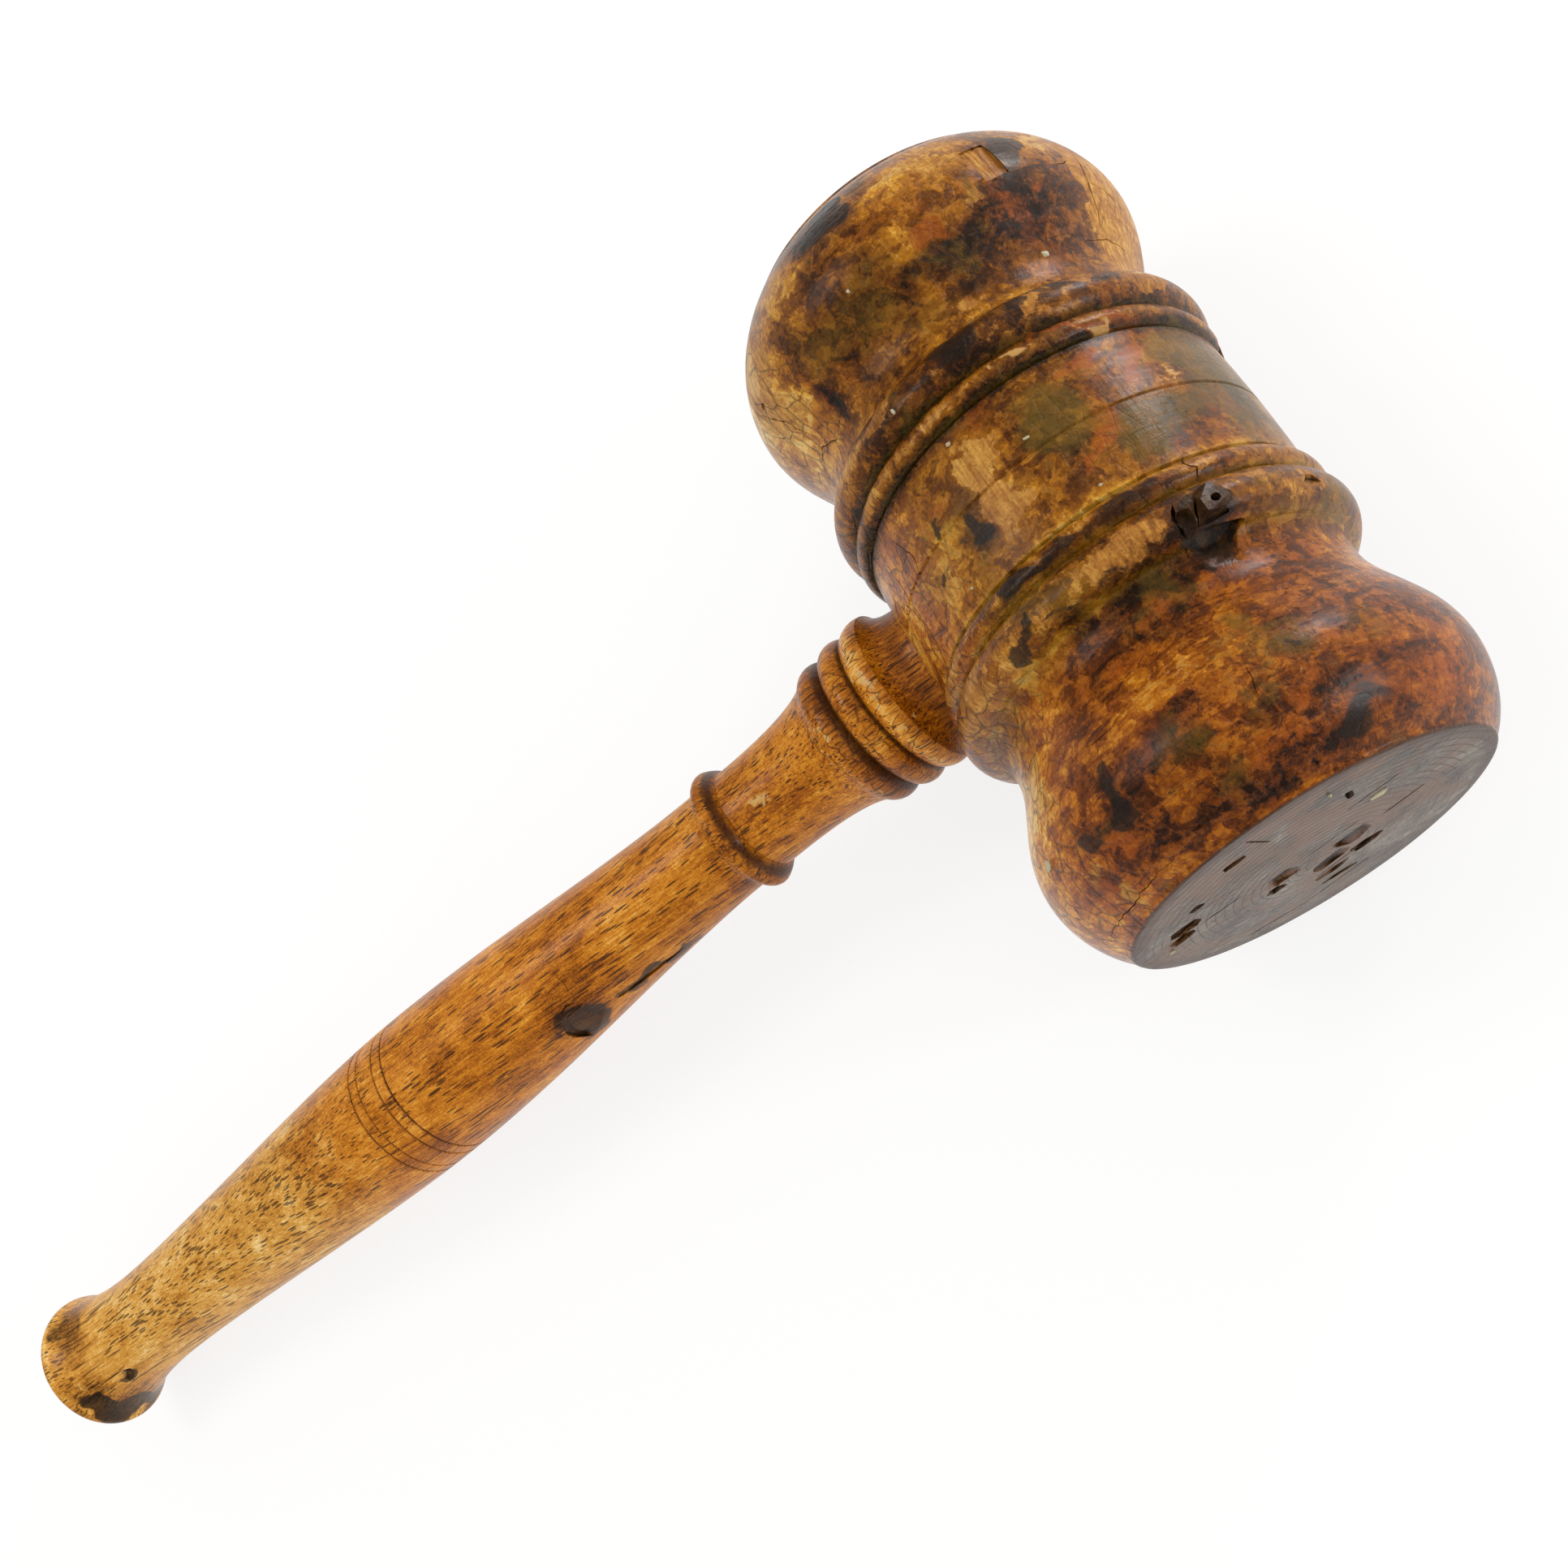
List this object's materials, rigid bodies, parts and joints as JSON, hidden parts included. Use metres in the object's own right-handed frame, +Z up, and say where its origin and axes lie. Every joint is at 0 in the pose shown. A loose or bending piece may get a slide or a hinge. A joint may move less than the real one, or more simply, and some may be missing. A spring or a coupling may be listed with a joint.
{
  "type": "carving mallet",
  "caption": "Turned two-faced carving mallet: a bulged head with beads and a waist at each end, on a swelling handle with beads, scribed rings and a knob.",
  "frame": {"origin": "on the plane the mallet lies on, below the middle of its bounding box", "axes": "Y runs along the head's axis, from one striking face to the other; the handle leaves the head toward -X and comes down to the plane at its knob; +Z up"},
  "size_m": [0.3548, 0.138, 0.08],
  "materials": {
    "head_wood": "worn red-brown varnish over honey-coloured wood, satin",
    "handle_wood": "honey-coloured beech, worn satin varnish"
  },
  "bodies": {
    "root": {"head": "head_wood", "handle": "handle_wood"}
  },
  "joints": []
}
